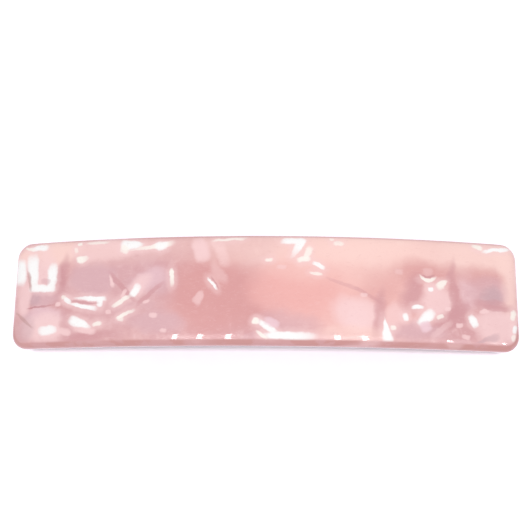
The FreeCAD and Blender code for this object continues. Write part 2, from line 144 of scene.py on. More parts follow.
def on_plate(run, y, depth):
    """A point at a run along the arch and a depth under the show face."""
    shine = max(0.0, 1 - depth / SHOULDER_DEPTH)
    level = ARCH_RADIUS - depth - POLISH_LOSS * shine + polish(run, y) * shine
    angle = run / ARCH_RADIUS
    return level * math.sin(angle), y, ARCH_CENTRE + level * math.cos(angle)


def fill(loop, flat, add, depth):
    """Rows of vertex numbers, from bottom to top, that fill an outline's loop at a depth.

    flat holds each vertex's place on the flat, and add(place, depth) makes a vertex."""
    rows = SHORT_STEPS + 2 * HALF_CORNER_STEPS
    columns = LONG_STEPS + 2 * HALF_CORNER_STEPS
    right = loop[: rows + 1]
    top = loop[rows : rows + columns + 1][::-1]
    left = loop[rows + columns : 2 * rows + columns + 1][::-1]
    bottom = loop[2 * rows + columns :] + loop[:1]
    corners = [flat[number] for number in (bottom[0], bottom[-1], top[0], top[-1])]
    grid = [bottom]
    for j in range(1, rows):
        row = [left[j]]
        for i in range(1, columns):
            sides = [flat[number] for number in (bottom[i], top[i], left[j], right[j])]
            row.append(add(inner_place(i / columns, j / rows, sides, corners), depth))
        grid.append(row + [right[j]])
    return grid + [top]


def inner_place(u, v, sides, corners):
    """A Coons patch's place inside a loop, from the four side points level with it and the four corners."""
    below, above, left, right = sides
    bottom_left, bottom_right, top_left, top_right = corners
    upward = between(below, above, v)
    sideways = between(left, right, u)
    square = between(between(bottom_left, bottom_right, u), between(top_left, top_right, u), v)
    return tuple(a + b - c for a, b, c in zip(upward, sideways, square))


def grid_faces(grid):
    """The quads of a grid of vertex numbers, facing up."""
    faces = []
    for low_row, high_row in zip(grid, grid[1:]):
        for i in range(len(low_row) - 1):
            faces.append((low_row[i], low_row[i + 1], high_row[i + 1], high_row[i]))
    return faces


def band_faces(upper, lower):
    """The quads between one loop of the rim and the next one down."""
    faces = []
    for i in range(len(upper)):
        k = (i + 1) % len(upper)
        faces.append((upper[i], lower[i], lower[k], upper[k]))
    return faces


def plate_mesh():
    """The arched plate as one closed skin of quads."""
    flat, vertices, faces = [], [], []

    def add(place, depth):
        flat.append(place)
        vertices.append(on_plate(*place, depth))
        return len(vertices) - 1

    loops = []
    for inset, depth in rim_profile():
        loops.append([add(place, depth) for place in outline(inset)])
    for upper, lower in zip(loops, loops[1:]):
        faces += band_faces(upper, lower)
    show_face = fill(loops[0], flat, add, 0.0)
    back_face = fill(loops[-1], flat, add, PLATE_THICKNESS)
    faces += grid_faces(show_face)
    faces += [quad[::-1] for quad in grid_faces(back_face)]
    mesh = bpy.data.meshes.new("pearl_plate")
    mesh.from_pydata(vertices, [], faces)
    mesh.update()
    mesh.shade_smooth()
    return mesh


# ---------------------------------------------------------------- node helpers


class Graph:
    """Makes nodes in a tree and wires each input as it goes."""

    def __init__(self, tree):
        self.tree = tree

    def add(self, kind, *values, out=0, **settings):
        node = self.tree.nodes.new(kind)
        for name, value in settings.items():
            setattr(node, name, value)
        for socket, value in zip(node.inputs, values):
            self.feed(socket, value)
        return node.outputs[out]

    def feed(self, socket, value):
        """Links a socket's value in, or sets it where it is a constant."""
        if isinstance(value, bpy.types.NodeSocket):
            self.tree.links.new(value, socket)
        else:
            socket.default_value = value

    def math(self, operation, *values):
        return self.add("ShaderNodeMath", *values, operation=operation)

    def vector(self, operation, *values):
        return self.add("ShaderNodeVectorMath", *values, operation=operation)

    def part(self, place, direction):
        """How far a place lies along a direction."""
        return self.add("ShaderNodeVectorMath", place, direction, operation="DOT_PRODUCT", out="Value")

    def scaled(self, place, scale):
        """A place stretched by a factor along each axis."""
        return self.vector("MULTIPLY", place, scale)

    def noise(self, place, scale, detail=2.0, rough=0.5, distortion=0.0, out=0):
        """Soft noise, its scale in waves per millimetre."""
        node = self.tree.nodes.new("ShaderNodeTexNoise")
        self.feed(node.inputs["Vector"], place)
        node.inputs["Scale"].default_value = scale
        node.inputs["Detail"].default_value = detail
        node.inputs["Roughness"].default_value = rough
        node.inputs["Distortion"].default_value = distortion
        return node.outputs[out]

    def wander(self, place, scale, detail=2.0, rough=0.5):
        """A shift that wanders either way along each axis."""
        return self.vector("SUBTRACT", self.noise(place, scale, detail, rough, out="Color"), (0.5, 0.5, 0.5))

    def cells(self, place, scale, feature="F1", out="Distance"):
        """Voronoi cells, their scale in cells per millimetre."""
        node = self.tree.nodes.new("ShaderNodeTexVoronoi")
        node.feature = feature
        self.feed(node.inputs["Vector"], place)
        node.inputs["Scale"].default_value = scale
        return node.outputs[out]

    def ramp(self, value, low, high, start=0.0, end=1.0):
        """Goes smoothly from start to end as a value goes from low to high, and stays there beyond.

        A smooth step needs no clamp, and each clamp would take room that the long acetate shader needs."""
        node = self.tree.nodes.new("ShaderNodeMapRange")
        node.interpolation_type = "SMOOTHSTEP"
        node.clamp = False
        for name, given in (
            ("Value", value),
            ("From Min", low),
            ("From Max", high),
            ("To Min", start),
            ("To Max", end),
        ):
            self.feed(node.inputs[name], given)
        return node.outputs["Result"]

    def mix(self, share, a, b):
        """Two colours mixed, with a share of the second."""
        node = self.tree.nodes.new("ShaderNodeMix")
        node.data_type = "RGBA"
        colours = [socket for socket in node.inputs if socket.type == "RGBA"]
        for socket, value in zip([node.inputs[0], *colours], (share, a, b)):
            self.feed(socket, value)
        return next(socket for socket in node.outputs if socket.type == "RGBA")

    def bump(self, height, strength, distance):
        node = self.tree.nodes.new("ShaderNodeBump")
        self.feed(node.inputs["Height"], height)
        node.inputs["Strength"].default_value = strength
        node.inputs["Distance"].default_value = distance
        return node.outputs[0]


def new_material(name):
    """An empty material, its graph, its shader and its place in millimetres from the row's origin."""
    material = bpy.data.materials.new(name)
    material.use_nodes = True
    tree = material.node_tree
    tree.nodes.clear()
    graph = Graph(tree)
    shader = tree.nodes.new("ShaderNodeBsdfPrincipled")
    output = tree.nodes.new("ShaderNodeOutputMaterial")
    tree.links.new(shader.outputs[0], output.inputs[0])
    coordinates = tree.nodes.new("ShaderNodeTexCoord")
    place = graph.scaled(coordinates.outputs["Object"], (1 / MM,) * 3)
    return material, graph, shader, place


# How the studio shows the acetate: its matt colour is brightened this many times, and its gloss adds this
# much.
KEY = 1.3
GLOSS_LIFT = 0.045


def tone(red, green, blue):
    """The acetate colour that shows as a screen colour from 0 to 255 under the scene's light."""
    linear = [((c / 255 + 0.055) / 1.055) ** 2.4 for c in (red, green, blue)]
    return *((c - GLOSS_LIFT) / KEY for c in linear), 1.0


# ---------------------------------------------------------------- pearl acetate

CORAL = tone(250, 198, 192)
SALMON = tone(243, 182, 178)
PEACH = tone(255, 219, 212)
BLUSH = tone(250, 214, 215)
MAUVE = tone(223, 181, 187)
LAVENDER = tone(243, 210, 219)
WARM = tone(222, 162, 161)
ROSE = tone(212, 158, 163)
DEEP = tone(196, 138, 144)
GREY = tone(200, 168, 176)
BROWN = tone(190, 150, 146)
CREAM = tone(255, 249, 242)
WHITE = tone(255, 255, 255)

# The acetate between the flakes, in the show face and at the sides and back.
FACE_DARK = tone(221, 171, 174)
FACE_LIGHT = tone(232, 185, 185)
BODY_DARK = tone(207, 154, 152)
BODY_LIGHT = tone(214, 165, 166)

# Soft zones of colour deep in the acetate: colour, strength, middle x and y, half length, half width,
# turn in degrees, and how wide the fading edge is, all but the first two and the turn in millimetres.
ZONES = [
    (WARM, 0.9, -8.5, -1, 9.5, 7, 0, 3),
    (CORAL, 0.85, 18, 2, 15, 11, 0, 5),
    (SALMON, 0.85, 7, 0.4, 7.5, 5, -6, 3),
    (WARM, 0.45, 22.5, 1, 3.4, 3.6, 0, 2.5),
    (PEACH, 0.45, 9, 8.5, 15, 4.5, -4, 4),
    (PEACH, 0.4, 15, 9, 9, 2.6, 6, 2.4),
    (PEACH, 0.6, 31, 9, 14, 4, -3, 3.6),
    (PEACH, 0.7, 42, 8, 6, 3, 0, 2),
    (PEACH, 0.8, 47.8, 3.5, 1.6, 6.5, 0, 1.2),
    (PEACH, 0.9, -41.5, 8.4, 4.6, 2.2, 0, 1.2),
    (PEACH, 0.9, -48.2, 8, 1.6, 1.5, 0, 0.8),
    (BLUSH, 0.85, -43.5, 5, 1.6, 3.2, 0, 0.8),
    (LAVENDER, 0.6, -43, -4.4, 3.6, 1.3, 0, 0.8),
    (MAUVE, 0.4, -27, 0, 9, 8, 0, 3),
    (BLUSH, 0.7, -31.5, 8.4, 5, 1.6, 0, 1),
    (MAUVE, 0.9, -33, 2.6, 4.2, 3.4, 0, 1),
    (ROSE, 0.95, -39.3, 2.3, 1.3, 4.1, -3, 0.8),
    (MAUVE, 0.95, -43, -1, 3.2, 1.5, 0, 0.7),
    (GREY, 0.5, -45, -1.2, 1.3, 1.3, 0, 0.8),
    (BLUSH, 0.9, -42, -6.9, 5, 2.3, 0, 1.2),
    (BLUSH, 0.8, -47.8, -1.2, 1.4, 3.2, 0, 0.7),
    (GREY, 0.35, -46.8, -6.8, 1.5, 2.2, -20, 1),
    (ROSE, 0.7, -33.5, -9, 4.6, 1.0, 0, 0.7),
    (ROSE, 0.6, -38, -5.5, 1.0, 2.8, 0, 0.8),
    (MAUVE, 0.8, -20, -6.4, 4.6, 2, -6, 1),
    (MAUVE, 0.8, -20.6, 1.4, 2.5, 2, -25, 1),
    (LAVENDER, 0.45, -22.2, 1.6, 2.6, 1.3, 25, 1.2),
    (BLUSH, 0.7, -23.5, 0.7, 1.6, 1.3, 35, 1),
    (BLUSH, 0.6, -8.3, 7.6, 2.4, 1, -62, 0.8),
    (BLUSH, 0.4, -8.8, 3.2, 1.9, 0.8, -56, 0.8),
    (MAUVE, 0.55, 4.6, -6.4, 4.6, 1.6, -6, 1.2),
    (BLUSH, 0.85, 17.6, -4.4, 3.8, 3.2, -12, 1.4),
    (LAVENDER, 0.35, 39.6, 0.6, 1.8, 3, 0, 1.2),
    (ROSE, 0.7, 22, -4.4, 1.0, 3.7, -6, 0.8),
    (BLUSH, 0.6, 25.6, -4.5, 1.8, 1.7, 0, 1),
    (WARM, 0.8, 31.6, 3.6, 5, 2.2, -4, 1.6),
    (ROSE, 0.8, 29, -0.8, 2, 3.2, -14, 1.3),
    (BLUSH, 0.8, 33.6, -1, 2.4, 2.9, 10, 0.8),
    (ROSE, 0.65, 36.6, 0.8, 0.6, 3.9, -4, 0.5),
    (ROSE, 0.75, 35.4, -5.4, 0.9, 3.2, -50, 0.9),
    (MAUVE, 0.85, 29.6, -7.8, 4.4, 1.5, 0, 1),
    (ROSE, 0.45, 37.2, -3.6, 1.8, 1.6, 0, 1),
    (WARM, 0.65, 42.8, 3.8, 3, 1.7, -6, 1.5),
    (MAUVE, 0.7, 43.6, 0.6, 3, 2.6, -8, 1.6),
    (GREY, 0.65, 44.4, -0.3, 1.2, 1.6, 12, 1.3),
    (ROSE, 0.6, 44.6, -2.2, 3.2, 0.7, -6, 0.7),
    (BLUSH, 0.8, 44.8, -6.3, 3.8, 2.6, 10, 1.1),
    (PEACH, 0.5, 17, -8.3, 5, 1.1, 0, 1),
    (PEACH, 0.28, 0, 8.8, 50, 2.8, 0, 2),
]

# Mother-of-pearl flakes near the surface, and the fine dark lines beside them, partly cracks and partly
# painted
# shadow: colour, strength, middle x and y, half length, half width, turn, edge, then how much it narrows
# along its length, how much it curves, and how much it fades along it.
FLAKES = [
    (WHITE, 1, -48.7, 4.6, 1.4, 2.6, 2, 0.5, 0, 0, 0),
    (WHITE, 1, -44.8, 9.4, 1.7, 0.6, 3, 0.35, 0.2, 0, 0),
    (CREAM, 0.8, -46.9, 9.3, 0.9, 0.25, -10, 0.3, 0, 0, 0),
    (WHITE, 1, -45.8, 4.5, 3.4, 1.05, 98, 0.45, 0.25, 0, 0),
    (WHITE, 1, -43.6, 1.1, 2.6, 0.75, -3, 0.35, -0.2, 0.1, 0),
    (WHITE, 1, -41.7, 3.3, 2.6, 1.0, 93, 0.4, 0.1, 0, 0),
    (MAUVE, 0.6, -43, 2.5, 0.9, 0.5, -10, 0.4, 0, 0, 0),
    (BROWN, 0.55, -46.5, 2.7, 1.7, 0.28, 103, 0.3, 0, 0, 0),
    (DEEP, 0.6, -43.6, -2.5, 2.5, 0.16, 7, 0.25, 0, 0, 0.4),
    (BLUSH, 0.9, -40.1, -2.2, 0.5, 0.4, 0, 0.25, 0, 0, 0),
    (CREAM, 0.9, -36.2, 9.8, 0.4, 0.3, 0, 0.25, 0, 0, 0),
    (CREAM, 0.6, -36.9, 8.5, 0.35, 0.5, 15, 0.3, 0, 0, 0),
    (CREAM, 0.7, -32.6, 9.9, 1.8, 0.25, 0, 0.25, 0, 0, 0),
    (CREAM, 0.95, -35.5, 6.6, 1.1, 0.6, 15, 0.4, -0.3, 0, 0.4),
    (WHITE, 1, -33.7, -1.3, 2.9, 0.38, -3, 0.25, 0.4, 0, -0.4),
    (WHITE, 0.95, -31.6, -2.2, 0.6, 0.8, 0, 0.3, 0, 0, 0),
    (WHITE, 1, -35, -2.8, 2.6, 0.4, -14, 0.25, 0.35, 0, 0),
    (ROSE, 0.8, -35, -2.0, 2.5, 0.22, -8, 0.2, 0, 0, 0),
    (WHITE, 0.9, -38.3, -1.6, 0.7, 0.35, -30, 0.3, 0, 0, 0),
    (CREAM, 0.7, -39.2, -1, 0.45, 0.35, 0, 0.3, 0, 0, 0),
    (WHITE, 1, -35.4, -6.2, 2.2, 0.85, -24, 0.35, -0.25, 0, 0),
    (BLUSH, 0.8, -34, -7.7, 1.6, 0.5, -6, 0.4, 0, 0, 0),
    (CREAM, 0.85, -31.9, -6.4, 0.85, 0.38, 15, 0.3, 0, 0, 0),
    (WHITE, 0.95, -42.1, -7.4, 1.5, 0.75, 4, 0.7, 0, 0, 0),
    (BLUSH, 0.8, -38.4, -7.7, 1, 0.6, -10, 0.5, 0, 0, 0),
    (BROWN, 0.5, -47.2, -5.2, 2.1, 0.25, -38, 0.4, 0, 0, 0),
    (BLUSH, 0.9, -29.4, 2.1, 1.1, 0.28, -68, 0.25, 0.3, 0, 0),
    (ROSE, 0.7, -27.2, 0.8, 3.2, 0.45, -47, 0.4, 0, 0, 0),
    (ROSE, 0.6, -21.6, -0.8, 2.8, 0.4, 42, 0.4, 0, 0, 0),
    (BLUSH, 0.8, -26.8, -0.5, 0.8, 0.3, 60, 0.3, 0, 0, 0),
    (CREAM, 0.9, -27.2, -2, 1.7, 0.42, 30, 0.3, 0, 0, 0),
    (BLUSH, 0.8, -29.8, -4.1, 0.5, 0.45, 0, 0.35, 0, 0, 0),
    (CREAM, 0.85, -26.2, -4.6, 1.6, 0.33, 26, 0.3, 0, 0, 0.2),
    (CREAM, 0.7, -27.2, -5.5, 0.6, 0.5, 0, 0.4, 0, 0, 0),
    (WHITE, 1, -25.6, 9.1, 2.3, 0.95, 0, 0.35, -0.35, 0, 0),
    (CREAM, 0.8, -27, 8.3, 0.9, 0.7, -30, 0.4, 0, 0, 0),
    (CREAM, 0.85, -22, 8.5, 3.6, 0.35, 9, 0.35, 0.6, 0, -0.4),
    (WHITE, 0.95, -19.7, 8.8, 1.3, 0.8, 4, 0.4, 0, 0, 0),
    (WHITE, 1, -24.5, 0, 1.2, 0.75, 56, 0.5, 0, 0, 0.1),
    (BLUSH, 0.8, -22.3, -2.4, 0.55, 0.25, 25, 0.2, 0, 0, 0),
    (CREAM, 0.95, -17.4, 2.4, 1.5, 0.36, 90, 0.3, 0, 0, -0.35),
    (BLUSH, 0.8, -20.8, -5, 0.7, 0.45, 0, 0.35, 0, 0, 0),
    (BLUSH, 0.7, -18.8, -7.9, 0.6, 0.4, 0, 0.35, 0, 0, 0),
    (CREAM, 0.8, -6.5, 9.8, 2.6, 0.24, 5, 0.3, 0, 0, 0),
    (WHITE, 0.95, -9.5, 1.05, 1.1, 0.2, -54, 0.2, 0, 0, 0),
    (DEEP, 0.5, -9.1, 1.3, 1.1, 0.12, -57, 0.15, 0, 0, 0),
    (BLUSH, 0.9, -12, 7.9, 2.4, 1.5, -68, 0.7, 0.2, 0, 0),
    (BLUSH, 0.6, -12, -1.6, 1.3, 0.7, 62, 0.6, -0.3, 0, 0),
    (CREAM, 0.95, -1.2, -6.2, 0.6, 0.55, 0, 0.3, 0, 0, 0),
    (WHITE, 1, 5.8, 9.5, 1.9, 0.6, 4, 0.5, 0, 0, 0),
    (WHITE, 0.9, 6.6, 8, 1.8, 0.55, 58, 0.5, 0.4, 0, -0.6),
    (CREAM, 0.95, 7.9, 5.9, 1.1, 0.5, 6, 0.4, 0, 0, 0),
    (CREAM, 0.85, 8.6, 7, 1.2, 0.5, 62, 0.5, 0.2, 0, 0),
    (CREAM, 0.8, 1.2, 5.8, 0.7, 0.32, 8, 0.3, 0, 0, 0),
    (BLUSH, 0.5, 3.6, 4.4, 0.7, 0.3, 0, 0.4, 0, 0, 0),
    (WHITE, 0.95, 10.8, 4.8, 1.05, 0.45, -28, 0.3, 0, 0, 0),
    (CREAM, 0.8, 10.2, 3.1, 0.9, 0.26, -10, 0.3, 0, 0, 0),
    (CREAM, 0.7, 14.5, 9.2, 0.8, 0.35, 8, 0.35, 0, 0, 0),
    (CREAM, 0.7, 13.3, 10, 0.4, 0.25, 0, 0.25, 0, 0, 0),
    (ROSE, 0.35, 15.5, 1.2, 2.8, 0.3, -19, 0.3, 0, 0, 0),
    (ROSE, 0.4, 20, -0.8, 2.4, 0.3, -28, 0.3, 0, 0, 0),
    (BLUSH, 0.7, 19.3, -0.9, 0.6, 0.3, 0, 0.3, 0, 0, 0),
    (BLUSH, 0.6, 18, -5.2, 1.6, 1.4, -15, 1.2, 0, 0, 0),
    (WHITE, 1, 1.1, -7.3, 1.9, 0.55, -34, 0.35, 0, 0, 0),
    (WHITE, 1, 5.4, -9, 4.6, 0.75, 0, 0.4, 0, 0, 0.25),
    (LAVENDER, 0.8, 1.9, -6.5, 1.3, 0.7, -20, 0.6, 0, 0, 0),
    (CREAM, 0.85, 0, -8.9, 1.0, 0.3, -40, 0.3, 0, 0, 0),
    (WHITE, 1, 23.5, -7.6, 2.4, 0.75, -82, 0.3, 0.8, 0, 0),
    (CREAM, 0.85, 24.9, -7, 0.5, 0.35, 0, 0.3, 0, 0, 0),
    (BLUSH, 0.35, 26.1, 4, 0.6, 0.5, 0, 0.4, 0, 0, 0),
    (PEACH, 0.7, 26.5, 9.7, 0.6, 0.4, 0, 0.4, 0, 0, 0),
    (BLUSH, 0.35, 31.8, 4.2, 0.8, 0.6, 0, 0.5, 0, 0, 0),
    (DEEP, 0.6, 31.9, 3.0, 1.0, 0.2, 0, 0.25, 0, -1.4, 0),
    (CREAM, 0.95, 31.7, 2.4, 1.3, 0.28, -6, 0.3, 0, -1.7, 0),
    (WHITE, 1, 32.2, 0.7, 0.52, 0.5, 0, 0.22, 0, 0, 0),
    (CREAM, 0.9, 34.5, 1.8, 1.0, 0.5, 40, 0.5, -0.3, 0, 0),
    (WHITE, 1, 29.6, -2.9, 0.95, 0.42, 5, 0.3, 0, 0, 0),
    (WHITE, 1, 31.2, -4.9, 1.9, 1.0, 42, 0.4, 0.2, 0, 0),
    (LAVENDER, 0.9, 31.1, -6.6, 1.0, 1.0, 20, 0.7, 0, 0, 0),
    (CREAM, 0.8, 34, -4.6, 0.55, 0.35, 20, 0.3, 0, 0, 0),
    (BLUSH, 0.9, 35.5, -3, 0.55, 0.35, 0, 0.3, 0, 0, 0),
    (WHITE, 0.95, 27.2, -4.9, 0.5, 0.75, 5, 0.3, 0, 0, 0),
    (BLUSH, 0.4, 34, -7.2, 2.2, 0.5, 38, 0.5, 0, 0, 0),
    (BLUSH, 0.8, 37.6, -6.1, 0.55, 0.38, 0, 0.3, 0, 0, 0),
    (WHITE, 1, 40.4, -5.2, 1.2, 0.65, -60, 0.35, 0, 0, 0),
    (BLUSH, 0.9, 42.7, -3.2, 0.8, 0.32, 5, 0.35, 0, 0, 0),
    (ROSE, 0.6, 45, -2.4, 2.2, 0.5, -5, 0.5, 0, 0, 0),
    (GREY, 0.5, 43.2, -8.6, 2.0, 0.45, 18, 0.5, 0.6, 0, 0),
    (BLUSH, 0.8, 38.8, -8.4, 0.7, 0.35, -10, 0.35, 0, 0, 0),
    (CREAM, 0.9, 48.5, -3.6, 0.5, 0.9, -15, 0.35, 0, 0, 0),
    (WHITE, 0.95, 48.8, -6.4, 0.5, 0.8, -10, 0.3, 0, 0, 0),
    (CREAM, 0.7, 48.4, -8.1, 0.4, 0.6, -20, 0.35, 0, 0, 0),
    (CREAM, 0.95, 41.8, 9.6, 0.95, 0.38, -15, 0.3, 0, 0, 0),
    (WHITE, 1, 45.7, 9.3, 2.3, 0.33, 8, 0.3, 0, 0.25, 0),
]


# A patch's soft edge is at most this share of its narrower half, and its core at least this share.
SOFTEST_EDGE = 0.95
LEAST_CORE = 0.02

# The faint painted glow round each bright flake: its strength, and in millimetres how far it reaches past
# the flake and how wide its soft edge is.
PAINTED_GLOW_STRENGTH = 0.45
PAINTED_GLOW_REACH = 0.5
PAINTED_GLOW_EDGE = 0.7


def patch_group(name, squareness):
    """A node group for one patch: its strength on the patch, 0 off it, with a soft edge between."""
    group = bpy.data.node_groups.new(name, "ShaderNodeTree")
    for socket in ("Place", "Middle", "Along", "Across"):
        group.interface.new_socket(socket, in_out="INPUT", socket_type="NodeSocketVector")
    for socket in ("Inner", "Outer", "Narrowing", "Curve", "Fade", "Strength"):
        group.interface.new_socket(socket, in_out="INPUT", socket_type="NodeSocketFloat")
    group.interface.new_socket("Share", in_out="OUTPUT", socket_type="NodeSocketFloat")
    given = group.nodes.new("NodeGroupInput").outputs
    result = group.nodes.new("NodeGroupOutput").inputs
    graph = Graph(group)
    local = graph.vector("SUBTRACT", given["Place"], given["Middle"])
    along = graph.part(local, given["Along"])
    across = graph.part(local, given["Across"])
    across = graph.math("MULTIPLY_ADD", graph.math("MULTIPLY", along, along), given["Curve"], across)
    across = graph.math("DIVIDE", across, graph.math("MULTIPLY_ADD", along, given["Narrowing"], 1.0))
    sides = graph.math("POWER", graph.math("ABSOLUTE", across), squareness)
    ends = graph.math("POWER", graph.math("ABSOLUTE", along), squareness)
    reach = graph.math("ADD", sides, ends)
    share = graph.ramp(reach, given["Inner"], given["Outer"], given["Strength"], 0.0)
    fade = graph.math("SUBTRACT", 1.0, graph.math("MULTIPLY", along, given["Fade"]))
    group.links.new(graph.math("MULTIPLY", share, fade), result["Share"])
    return group


class Patch:
    """A kind of patch of colour, a superellipse with a soft edge, laid as copies of one node group.

    The edge reaches inside and outside the superellipse by a number of edge widths each way."""

    def __init__(self, name, squareness, inside, outside):
        self.group = patch_group(name, squareness)
        self.squareness = squareness
        self.inside = inside
        self.outside = outside

    def lay(
        self, graph, place, strength, x, y, length, width, turn, edge, narrow=0.0, curve=0.0, fade=0.0
    ):
        """One patch's share of the colour at a place."""
        node = graph.tree.nodes.new("ShaderNodeGroup")
        node.node_tree = self.group
        graph.feed(node.inputs["Place"], place)
        angle = math.radians(turn)
        soft = min(edge / min(length, width), SOFTEST_EDGE)
        for name, value in {
            "Middle": (x, y, 0),
            "Along": (math.cos(angle) / length, math.sin(angle) / length, 0),
            "Across": (-math.sin(angle) / width, math.cos(angle) / width, 0),
            "Inner": max(1 - soft * self.inside, LEAST_CORE) ** self.squareness,
            "Outer": (1 + soft * self.outside) ** self.squareness,
            "Narrowing": narrow,
            "Curve": curve,
            "Fade": fade,
            "Strength": strength,
        }.items():
            node.inputs[name].default_value = value
        return node.outputs[0]


def face_base(graph, place):
    """The acetate of the show face between its zones and flakes: pearly, in faint chips."""
    broad = graph.noise(place, scale=0.07)
    fine = graph.noise(graph.scaled(place, (1, 1, 0.4)), scale=0.42, detail=4, rough=0.55, distortion=0.4)
    colour = graph.mix(graph.ramp(broad, 0.3, 0.7), FACE_DARK, FACE_LIGHT)
    chips = graph.cells(graph.scaled(place, (0.8, 1, 0.6)), scale=0.3, out="Color")
    chip = graph.add("ShaderNodeSeparateColor", chips)
    colour = graph.mix(graph.ramp(chip, 0.45, 0.9, end=0.35), colour, MAUVE)
    colour = graph.mix(graph.ramp(chip, 0.4, 0.1, end=0.3), colour, ROSE)
    colour = graph.mix(graph.ramp(fine, 0.5, 0.75, end=0.4), colour, BLUSH)
    return graph.mix(graph.ramp(fine, 0.5, 0.28, end=0.4), colour, ROSE)


def with_zones_and_flakes(graph, colour, drifted, warped):
    """A colour with the zones laid on it, then the painted glow round each bright flake, then the flakes."""
    zone = Patch("pearl_zone", squareness=2.0, inside=1.0, outside=1.0)
    flake = Patch("pearl_flake", squareness=3.0, inside=1.5, outside=0.5)
    on_face = graph.scaled(drifted, (1, 1, 0))
    for tint, *numbers in ZONES:
        colour = graph.mix(zone.lay(graph, on_face, *numbers), colour, tint)
    on_face = graph.scaled(warped, (1, 1, 0))
    # Painted glow: a soft blush round each white or cream flake, standing in for the light that they spread.
    for tint, strength, x, y, length, width, turn, *_ in FLAKES:
        if tint in (WHITE, CREAM):
            size = length + PAINTED_GLOW_REACH, width + PAINTED_GLOW_REACH
            painted_glow = zone.lay(graph, on_face, PAINTED_GLOW_STRENGTH * strength, x, y, *size, turn, PAINTED_GLOW_EDGE)
            colour = graph.mix(painted_glow, colour, BLUSH)
    for tint, *numbers in FLAKES:
        colour = graph.mix(flake.lay(graph, on_face, *numbers), colour, tint)
    return colour


def with_streaks(graph, colour, place):
    """A colour with fine light and dark streaks over it."""
    stretched = graph.scaled(place, (1.2, 3.0, 1))
    streaks = graph.noise(stretched, scale=0.8, detail=4, rough=0.65, distortion=1.2)
    colour = graph.mix(graph.ramp(streaks, 0.52, 0.7, end=0.15), colour, BLUSH)
    return graph.mix(graph.ramp(streaks, 0.44, 0.3, end=0.16), colour, ROSE)


def depth_below_face(graph, place):
    """How deep a place lies under the arched show face, in millimetres."""
    parts = graph.tree.nodes.new("ShaderNodeSeparateXYZ")
    graph.feed(parts.inputs[0], place)
    rise = graph.math("SUBTRACT", parts.outputs["Z"], ARCH_CENTRE / MM)
    rise_squared = graph.math("POWER", rise, 2.0)
    squares = graph.math("MULTIPLY_ADD", parts.outputs["X"], parts.outputs["X"], rise_squared)
    return graph.math("SUBTRACT", ARCH_RADIUS / MM, graph.math("SQRT", squares))


def body_colour(graph, warped):
    """The acetate where its thickness shows, at the sides and the back: deeper, with flakes cut through."""
    stretched = graph.scaled(warped, (0.5, 0.7, 1.6))
    cells = graph.cells(stretched, scale=0.35, feature="SMOOTH_F1", out="Color")
    cell = graph.add("ShaderNodeSeparateColor", cells)
    veins = graph.noise(stretched, scale=0.5, detail=4, rough=0.6)
    colour = graph.mix(graph.ramp(cell, 0.2, 0.8), BODY_DARK, BODY_LIGHT)
    colour = graph.mix(graph.ramp(cell, 0.8, 0.9, end=0.2), colour, BLUSH)
    colour = graph.mix(graph.ramp(veins, 0.48, 0.62, end=0.35), colour, MAUVE)
    flecks = graph.cells(graph.scaled(warped, (0.35, 0.9, 0.6)), scale=0.25)
    return graph.mix(graph.ramp(flecks, 0.26, 0.12, end=0.3), colour, BLUSH)


def acetate_material():
    """Pink acetate with mother-of-pearl flakes, polished to a clear gloss."""
    material, graph, shader, place = new_material("pearl_acetate")
    shift = graph.wander(place, scale=0.45, detail=3, rough=0.55)
    drift = graph.wander(place, scale=0.14)
    warped = graph.vector("ADD", place, graph.scaled(shift, (1.0, 1.0, 0)))
    drifted = graph.vector("ADD", warped, graph.scaled(drift, (4.5, 3.5, 0)))
    colour = face_base(graph, place)
    colour = with_zones_and_flakes(graph, colour, drifted, warped)
    colour = with_streaks(graph, colour, place)

    # The body's colour takes over down the rim, and earlier along the front edge as painted shade.
    depth = depth_below_face(graph, place)
    body = body_colour(graph, warped)
    # Painted shade: the lower rim faces away from the light, so the deeper colour starts higher on the front
    # shoulder.
    painted_front_shade = graph.ramp(graph.part(place, (0, 1, 0)), -4.0, -9.6, 0.3, 1.0)
    colour = graph.mix(graph.ramp(graph.math("MULTIPLY", depth, painted_front_shade), 0.07, 0.19), colour, body)

    graph.feed(shader.inputs["Base Color"], colour)
    smear = graph.noise(place, scale=0.9, detail=4, rough=0.6)
    graph.feed(shader.inputs["Roughness"], graph.ramp(smear, 0.3, 0.7, 0.16, 0.26))
    shader.inputs["IOR"].default_value = 1.48
    shader.inputs["Coat Weight"].default_value = 0.6
    shader.inputs["Coat Roughness"].default_value = 0.03
    waves = graph.noise(place, scale=1.2)
    graph.feed(shader.inputs["Normal"], graph.bump(waves, strength=0.12, distance=0.05 * MM))
    return material


# ---------------------------------------------------------------- steel


def steel_material(name, light, dark, roughness, grain, direction):
    """Bright steel with drawn grain, handling smears and small scratches.

    direction scales the grain along each axis, and the grain runs along the one that it scales least."""
    material, graph, shader, place = new_material(name)
    along = graph.scaled(place, direction)
    lines = graph.noise(along, scale=grain, detail=3, rough=0.7)
    smear = graph.noise(place, scale=0.35, detail=4, rough=0.6)
    marks = graph.noise(graph.scaled(along, (1, 2.2, 1)), scale=grain * 2.4, rough=0.4)
    scratch = graph.ramp(marks, 0.66, 0.72)
    colour = graph.mix(lines, dark, light)
    colour = graph.mix(graph.ramp(smear, 0.4, 0.75, end=0.35), colour, dark)
    graph.feed(shader.inputs["Base Color"], colour)
    shader.inputs["Metallic"].default_value = 1.0
    rough = graph.math("MULTIPLY_ADD", smear, 0.18, roughness - 0.09)
    rough = graph.math("MULTIPLY_ADD", scratch, 0.12, rough)
    graph.feed(shader.inputs["Roughness"], rough)
    height = graph.math("MULTIPLY_ADD", scratch, -0.6, lines)
    graph.feed(shader.inputs["Normal"], graph.bump(height, strength=0.25, distance=0.01 * MM))
    return material


